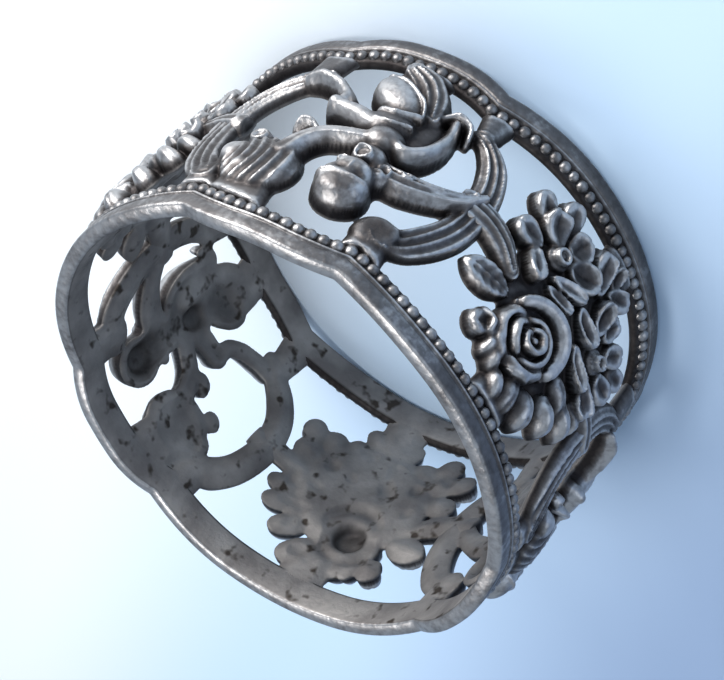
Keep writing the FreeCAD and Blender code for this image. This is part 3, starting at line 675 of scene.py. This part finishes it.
def border_skin(side, steps):
    """The section swept round the shaped edge: side 1 is the upper border, -1 the lower."""
    s = settings()
    bore = s.outer_radius - s.border_step - s.wall
    points, faces, worn, inner = [], [], [], []
    count = len(SECTION)
    for k in range(steps):
        degrees = 360.0 * k / steps
        t = math.radians(degrees)
        edge = edge_height(degrees)
        ripple = 0.03 * math.sin(3.1 * t + 1.0) + 0.02 * math.sin(7 * t)
        for across, depth in SECTION:
            radius = bore + across
            z = s.half_height + side * (edge - depth)
            points.append((radius * math.cos(t), radius * math.sin(t), z))
            high = across > 1.2 or depth < 0.2
            crest = depth < 0.25 or 1.6 < depth < 1.8
            wear = (FACE_WORN if high else GROOVE_WORN) + ripple + (CREST_WORN if crest else 0.0)
            worn.append(min(1.0, wear))
            inner.append(1.0 if across < 0.06 and depth > 0.3 else 0.0)
    for k in range(steps):
        a, b = k * count, ((k + 1) % steps) * count
        for j in range(count):
            i = (j + 1) % count
            quad = (a + j, a + i, b + i, b + j)
            faces.append(quad if side > 0 else quad[::-1])
    return points, faces, worn, inner


# Materials

# Noise masks: output, scale and detail of the noise, and its values that become 0 and 1.
MASKS = (("Clouds", 260.0, 4.0, 0.36, 0.66),
         ("Spots", 620.0, 2.0, 0.60, 0.70),
         ("Fine", 1700.0, 4.0, 0.3, 0.7))

# Colours of the metal from its dark recesses to its brightest places, which hold both the wear and
# the painted highlights.
TARNISH_AND_HIGHLIGHT = ((0.0, (0.03, 0.026, 0.026)), (0.4, (0.08, 0.072, 0.07)),
           (0.66, (0.15, 0.14, 0.138)), (0.95, (0.46, 0.445, 0.44)))

# Colours of the dull inside: its clouds, dark and light, and its spots.
INSIDE_DARK = (0.21, 0.195, 0.19)
INSIDE_LIGHT = (0.35, 0.33, 0.315)
INSIDE_SPOT = (0.07, 0.058, 0.05)

# Painted shade on the table: its colour grows deeper along this way, over this stretch in metres,
# painting the light's fall-off.
PAINTED_FALLOFF_WAY = (-0.347, -0.938, 0.0)
PAINTED_FALLOFF_STRETCH = (-0.03, 0.045)
TABLE_PAINTED_FALLOFF = ((0.0, (0.86, 0.9, 0.93)), (0.5, (0.56, 0.72, 0.9)), (1.0, (0.32, 0.43, 0.62)))


def set_stops(ramp, stops):
    """Give a colour ramp its stops, each a place and a colour."""
    for place, _ in stops[1:-1]:
        ramp.color_ramp.elements.new(place)
    for element, (place, colour) in zip(ramp.color_ramp.elements, stops):
        element.position, element.color = place, colour + (1.0,)


def tarnish_group():
    """Cloudy tarnish and fine wear: masks only, in object space."""
    name = "tarnish_masks"
    if name in bpy.data.node_groups:
        return bpy.data.node_groups[name]
    tree = bpy.data.node_groups.new(name, "ShaderNodeTree")
    for mask in MASKS:
        tree.interface.new_socket(mask[0], in_out="OUTPUT", socket_type="NodeSocketFloat")
    place = tree.nodes.new("ShaderNodeTexCoord")
    out = tree.nodes.new("NodeGroupOutput")
    for k, (_, scale, detail, low, high) in enumerate(MASKS):
        noise = tree.nodes.new("ShaderNodeTexNoise")
        noise.inputs["Scale"].default_value = scale
        noise.inputs["Detail"].default_value = detail
        tree.links.new(place.outputs["Object"], noise.inputs["Vector"])
        span = tree.nodes.new("ShaderNodeMapRange")
        span.inputs["From Min"].default_value = low
        span.inputs["From Max"].default_value = high
        tree.links.new(noise.outputs["Fac"], span.inputs["Value"])
        tree.links.new(span.outputs["Result"], out.inputs[k])
    return tree


def silver():
    """Oxidised metal, brighter where it is worn and where highlights are painted in, and dull inside
    the ring.
    """
    name = "oxidised_silver"
    if name in bpy.data.materials:
        return bpy.data.materials[name]
    mat = bpy.data.materials.new(name)
    mat.use_nodes = True
    tree = mat.node_tree
    new, link = tree.nodes.new, tree.links.new
    shader = tree.nodes["Principled BSDF"]
    masks = new("ShaderNodeGroup")
    masks.node_tree = tarnish_group()

    def attribute(key):
        node = new("ShaderNodeAttribute")
        node.attribute_name = key
        return node.outputs["Fac"]

    def math_node(kind, a, b):
        node = new("ShaderNodeMath")
        node.operation = kind
        node.use_clamp = kind == "ADD"
        for socket, value in zip(node.inputs, (a, b)):
            if isinstance(value, float):
                socket.default_value = value
            else:
                link(value, socket)
        return node.outputs[0]

    def blend(fac, a, b):
        node = new("ShaderNodeMix")
        node.data_type = "RGBA"
        link(fac, node.inputs["Factor"])
        for key, value in (("A", a), ("B", b)):
            socket = [i for i in node.inputs if i.name == key and i.type == "RGBA"][0]
            if isinstance(value, tuple):
                socket.default_value = value + (1.0,)
            else:
                link(value, socket)
        return [o for o in node.outputs if o.type == "RGBA"][0]

    clouds, spots, fine = (masks.outputs[k] for k in ("Clouds", "Spots", "Fine"))
    worn = math_node("ADD", attribute("worn"), math_node("MULTIPLY", clouds, 0.18))
    worn = math_node("ADD", worn, math_node("MULTIPLY", fine, -0.2))
    ramp = new("ShaderNodeValToRGB")
    link(worn, ramp.inputs["Fac"])
    set_stops(ramp, TARNISH_AND_HIGHLIGHT)
    dull = blend(clouds, INSIDE_DARK, INSIDE_LIGHT)
    dull = blend(spots, dull, INSIDE_SPOT)
    inner = attribute("inner")
    link(blend(inner, ramp.outputs["Color"], dull), shader.inputs["Base Color"])
    rough = new("ShaderNodeMapRange")
    rough.inputs["To Min"].default_value = 0.6
    rough.inputs["To Max"].default_value = 0.36
    link(worn, rough.inputs["Value"])
    link(math_node("ADD", rough.outputs["Result"], math_node("MULTIPLY", inner, 0.12)),
         shader.inputs["Roughness"])
    shader.inputs["Metallic"].default_value = 1.0
    bump = new("ShaderNodeBump")
    bump.inputs["Strength"].default_value = 0.4
    bump.inputs["Distance"].default_value = 0.00008
    link(fine, bump.inputs["Height"])
    link(bump.outputs["Normal"], shader.inputs["Normal"])
    return mat


def painted_falloff_floor():
    """A pale table with the light's fall-off painted in: it grows deeper in colour away from the
    light.
    """
    mat = bpy.data.materials.new("pale_table")
    mat.use_nodes = True
    tree = mat.node_tree
    shader = tree.nodes["Principled BSDF"]
    place = tree.nodes.new("ShaderNodeTexCoord")
    along = tree.nodes.new("ShaderNodeVectorMath")
    along.operation = "DOT_PRODUCT"
    along.inputs[1].default_value = PAINTED_FALLOFF_WAY
    span = tree.nodes.new("ShaderNodeMapRange")
    span.inputs["From Min"].default_value, span.inputs["From Max"].default_value = PAINTED_FALLOFF_STRETCH
    # this ramp paints the fall-off of the light into the table's colour
    fade = tree.nodes.new("ShaderNodeValToRGB")
    fade.color_ramp.interpolation = "EASE"
    set_stops(fade, TABLE_PAINTED_FALLOFF)
    tree.links.new(place.outputs["Object"], along.inputs[0])
    tree.links.new(along.outputs["Value"], span.inputs["Value"])
    tree.links.new(span.outputs["Result"], fade.inputs["Fac"])
    tree.links.new(fade.outputs["Color"], shader.inputs["Base Color"])
    shader.inputs["Roughness"].default_value = 0.6
    return mat


# Beading

def bead_tree():
    """Round beads on every point of the mesh it is given."""
    tree = bpy.data.node_groups.new("beading", "GeometryNodeTree")
    face = tree.interface
    face.new_socket("Geometry", in_out="INPUT", socket_type="NodeSocketGeometry")
    radius = face.new_socket("Bead Radius", in_out="INPUT", socket_type="NodeSocketFloat")
    spread = face.new_socket("Size Spread", in_out="INPUT", socket_type="NodeSocketFloat")
    seed = face.new_socket("Seed", in_out="INPUT", socket_type="NodeSocketInt")
    face.new_socket("Geometry", in_out="OUTPUT", socket_type="NodeSocketGeometry")
    new, link = tree.nodes.new, tree.links.new
    start, end = new("NodeGroupInput"), new("NodeGroupOutput")
    bead = new("GeometryNodeMeshUVSphere")
    bead.inputs["Segments"].default_value = BEAD_SEGMENTS
    bead.inputs["Rings"].default_value = BEAD_RINGS
    link(start.outputs["Bead Radius"], bead.inputs["Radius"])
    mark = new("GeometryNodeStoreNamedAttribute")
    mark.data_type, mark.domain = "FLOAT", "POINT"
    mark.inputs["Name"].default_value = "worn"
    mark.inputs["Value"].default_value = BEAD_WORN
    link(bead.outputs["Mesh"], mark.inputs["Geometry"])
    size = new("FunctionNodeRandomValue")
    size.data_type = "FLOAT"
    less, more = new("ShaderNodeMath"), new("ShaderNodeMath")
    less.operation, more.operation = "SUBTRACT", "ADD"
    for node in (less, more):
        node.inputs[0].default_value = 1.0
        link(start.outputs["Size Spread"], node.inputs[1])
    floats = [i for i in size.inputs if i.type == "VALUE"]
    link(less.outputs[0], [i for i in floats if i.name == "Min"][0])
    link(more.outputs[0], [i for i in floats if i.name == "Max"][0])
    link(start.outputs["Seed"], [i for i in size.inputs if i.name == "Seed"][0])
    place = new("GeometryNodeInstanceOnPoints")
    link(start.outputs["Geometry"], place.inputs["Points"])
    link(mark.outputs["Geometry"], place.inputs["Instance"])
    link([o for o in size.outputs if o.type == "VALUE"][0], place.inputs["Scale"])
    real = new("GeometryNodeRealizeInstances")
    link(place.outputs["Instances"], real.inputs["Geometry"])
    shade = new("GeometryNodeSetShadeSmooth")
    link(real.outputs["Geometry"], shade.inputs["Geometry"])
    skin = new("GeometryNodeSetMaterial")
    skin.inputs["Material"].default_value = silver()
    link(shade.outputs["Geometry"], skin.inputs["Geometry"])
    link(skin.outputs["Geometry"], end.inputs["Geometry"])
    return tree, {"radius": radius.identifier, "spread": spread.identifier,
                  "seed": seed.identifier}


def bead_points():
    """Middles of the beads of both rows, which follow the shaped edge."""
    s = settings()
    radius = s.outer_radius - s.border_step + BEAD_OUT
    points = []
    for side in (1, -1):
        for k in range(3 * s.beads_per_third):
            degrees = (k + 0.5) * THIRD / s.beads_per_third
            z = s.half_height + side * (edge_height(degrees) - s.bead_inset)
            t = math.radians(degrees)
            points.append(Vector((radius * math.cos(t), radius * math.sin(t), z)) * MM)
    return points


# Add-on

class NapkinRingSettings(bpy.types.PropertyGroup):
    outer_radius: bpy.props.FloatProperty(
        name="Outer radius", description="Smooth border strip, in mm", default=22.5, min=15)
    half_height: bpy.props.FloatProperty(
        name="Half height", description="Middle to the crown of a figure lobe, in mm",
        default=13.73, min=8)
    wall: bpy.props.FloatProperty(
        name="Wall", description="Thickness of the pierced ground, in mm", default=1.0, min=0.3)
    border_step: bpy.props.FloatProperty(
        name="Border step", description="Border proud of the ground, in mm", default=0.4, min=0)
    notch_depth: bpy.props.FloatProperty(
        name="Notch depth", description="Notch below the crown, in mm", default=0.97, min=0.2)
    flower_drop: bpy.props.FloatProperty(
        name="Flower drop", description="Flower lobe below the figure lobe, in mm", default=0.17)
    notch_angle: bpy.props.FloatProperty(
        name="Notch angle", description="Notch from a figure centre, in degrees", default=18.83)
    beads_per_third: bpy.props.IntProperty(
        name="Beads per third", description="Beads in a third of a row", default=43, min=5)
    bead_inset: bpy.props.FloatProperty(
        name="Bead inset", description="Bead line below the edge, in mm", default=2.5)
    bead_radius: bpy.props.FloatProperty(
        name="Bead radius", description="Radius of a bead, in mm", default=0.54)
    hollow: bpy.props.FloatProperty(
        name="Hollow back", description="Share of the relief hollowed behind", default=0.85,
        min=0, max=1, subtype="FACTOR")
    step: bpy.props.FloatProperty(
        name="Sculpt step", description="Cell size of the sculpted skin, in mm", default=0.15,
        min=0.08)
    seed: bpy.props.IntProperty(
        name="Seed", description="Seed of the uneven bead sizes", default=3)


def sculpt_step():
    return settings().step


# Camera of the photograph: place from the middle of the ring in mm; right, up and back axes.
CAMERA_PLACE = (118.88, -70.38, 102.57)
CAMERA_AXES = ((-0.016696, 0.722826, 0.690829),
               (-0.835843, 0.369084, -0.406380),
               (-0.548715, -0.584209, 0.598006))
LENS = 98.22
SENSOR = 36.0
CLIP_START = 0.005

# Light, the table and the room, in metres and watts.
TABLE_HALF = 1.6
LAMP_LOWEST = 0.06
WARM = (1.0, 0.99, 0.97)
WARMER = (1.0, 0.98, 0.95)
COOL = (0.75, 0.86, 1.0)
SKY = (0.68, 0.82, 1.0, 1.0)
SKY_STRENGTH = 0.58


def add_table():
    mesh = bpy.data.meshes.new("table_top")
    w = TABLE_HALF
    mesh.from_pydata([(-w, -w, 0), (w, -w, 0), (w, w, 0), (-w, w, 0)], [], [(0, 1, 2, 3)])
    mesh.materials.append(painted_falloff_floor())
    add_object("table_top", mesh)


def add_camera(scene, centre, axes):
    camera = add_object("camera", bpy.data.cameras.new("camera"))
    camera.data.lens = LENS
    camera.data.sensor_width = SENSOR
    camera.data.clip_start = CLIP_START
    camera.location = Vector(CAMERA_PLACE) * MM + centre
    camera.rotation_euler = axes.to_euler()
    scene.camera = camera


def add_lights(centre, axes):
    """Square lamps placed by the camera's axes, all but the top one, and turned to the ring."""
    right, up, back = axes.col[0], axes.col[1], axes.col[2]
    for name, place, power, size, colour in (
            ("key", -0.22 * right + 0.30 * up + 0.14 * back, 3.0, 0.3, WARM),
            ("top", Vector((0.0, 0.04, 0.3)), 0.3, 0.2, WARM),
            ("fill", 0.34 * right + 0.05 * up + 0.2 * back, 0.3, 0.3, COOL),
            ("low", -0.3 * right - 0.2 * up + 0.22 * back, 0.6, 0.25, WARMER)):
        light = bpy.data.lights.new(name, "AREA")
        light.energy, light.size, light.color = power, size, colour
        lamp = add_object(name, light)
        spot = centre + place
        spot.z = max(spot.z, LAMP_LOWEST)
        lamp.location = spot
        lamp.rotation_euler = (centre - spot).to_track_quat("-Z", "Y").to_euler()


def add_world(scene):
    world = bpy.data.worlds.new("studio")
    world.use_nodes = True
    sky = world.node_tree.nodes["Background"]
    sky.inputs["Color"].default_value = SKY
    sky.inputs["Strength"].default_value = SKY_STRENGTH
    scene.world = world
    scene.view_settings.view_transform = "Standard"


class NAPKINRING_OT_figures(bpy.types.Operator):
    """Sculpt the three figure panels"""
    bl_idname = "napkin_ring.figures"
    bl_label = "Figure Panels"

    def execute(self, context):
        build_panels("figure_panel", figure_relief(sculpt_step()), (0, 120, 240))
        return {"FINISHED"}


class NAPKINRING_OT_flowers(bpy.types.Operator):
    """Sculpt the three flower panels"""
    bl_idname = "napkin_ring.flowers"
    bl_label = "Flower Panels"

    def execute(self, context):
        build_panels("flower_panel", flower_relief(sculpt_step()), (60, 180, 300))
        return {"FINISHED"}


class NAPKINRING_OT_borders(bpy.types.Operator):
    """Build the two shaped borders"""
    bl_idname = "napkin_ring.borders"
    bl_label = "Borders"

    def execute(self, context):
        for name, side in (("upper_border", 1), ("lower_border", -1)):
            points, faces, worn, inner = border_skin(side, BORDER_STEPS)
            mesh_piece(name, points, faces, {"worn": worn, "inner": inner})
        return {"FINISHED"}


class NAPKINRING_OT_beading(bpy.types.Operator):
    """Set the beads along both borders"""
    bl_idname = "napkin_ring.beading"
    bl_label = "Beading"

    def execute(self, context):
        s = settings()
        mesh = bpy.data.meshes.new("bead_places")
        mesh.from_pydata(bead_points(), [], [])
        places = add_object("bead_places", mesh)
        tree, keys = bead_tree()
        modifier = places.modifiers.new("beading", "NODES")
        modifier.node_group = tree
        modifier[keys["radius"]] = s.bead_radius * MM
        modifier[keys["spread"]] = BEAD_SPREAD
        modifier[keys["seed"]] = s.seed
        graph = context.evaluated_depsgraph_get()
        graph.update()
        real = bpy.data.meshes.new_from_object(places.evaluated_get(graph))
        bpy.data.objects.remove(places, do_unlink=True)
        if len(real.polygons) < 1000:
            raise RuntimeError("the beads were not made")
        add_piece("beading", real)
        return {"FINISHED"}


class NAPKINRING_OT_stage(bpy.types.Operator):
    """Set the table, the lights and the camera"""
    bl_idname = "napkin_ring.stage"
    bl_label = "Stage"

    def execute(self, context):
        centre = Vector((0, 0, settings().half_height * MM))
        axes = Matrix(CAMERA_AXES)
        add_table()
        add_camera(context.scene, centre, axes)
        add_lights(centre, axes)
        add_world(context.scene)
        return {"FINISHED"}


class NAPKINRING_PT_panel(bpy.types.Panel):
    """Sizes and steps of the napkin ring"""
    bl_label = "Napkin Ring"
    bl_idname = "NAPKINRING_PT_panel"
    bl_space_type = "VIEW_3D"
    bl_region_type = "UI"
    bl_category = "Napkin Ring"

    def draw(self, context):
        for key in NapkinRingSettings.__annotations__:
            self.layout.prop(context.scene.napkin_ring, key)
        for step in STEPS:
            self.layout.operator(step.bl_idname)


STEPS = (NAPKINRING_OT_figures, NAPKINRING_OT_flowers, NAPKINRING_OT_borders,
         NAPKINRING_OT_beading, NAPKINRING_OT_stage)
CLASSES = (NapkinRingSettings,) + STEPS + (NAPKINRING_PT_panel,)


def register():
    for cls in CLASSES:
        bpy.utils.register_class(cls)
    bpy.types.Scene.napkin_ring = bpy.props.PointerProperty(type=NapkinRingSettings)


def unregister():
    del bpy.types.Scene.napkin_ring
    for cls in reversed(CLASSES):
        bpy.utils.unregister_class(cls)


def main():
    register()
    bpy.ops.napkin_ring.borders()
    bpy.ops.napkin_ring.beading()
    bpy.ops.napkin_ring.figures()
    bpy.ops.napkin_ring.flowers()
    bpy.ops.napkin_ring.stage()


if __name__ == "__main__":
    main()
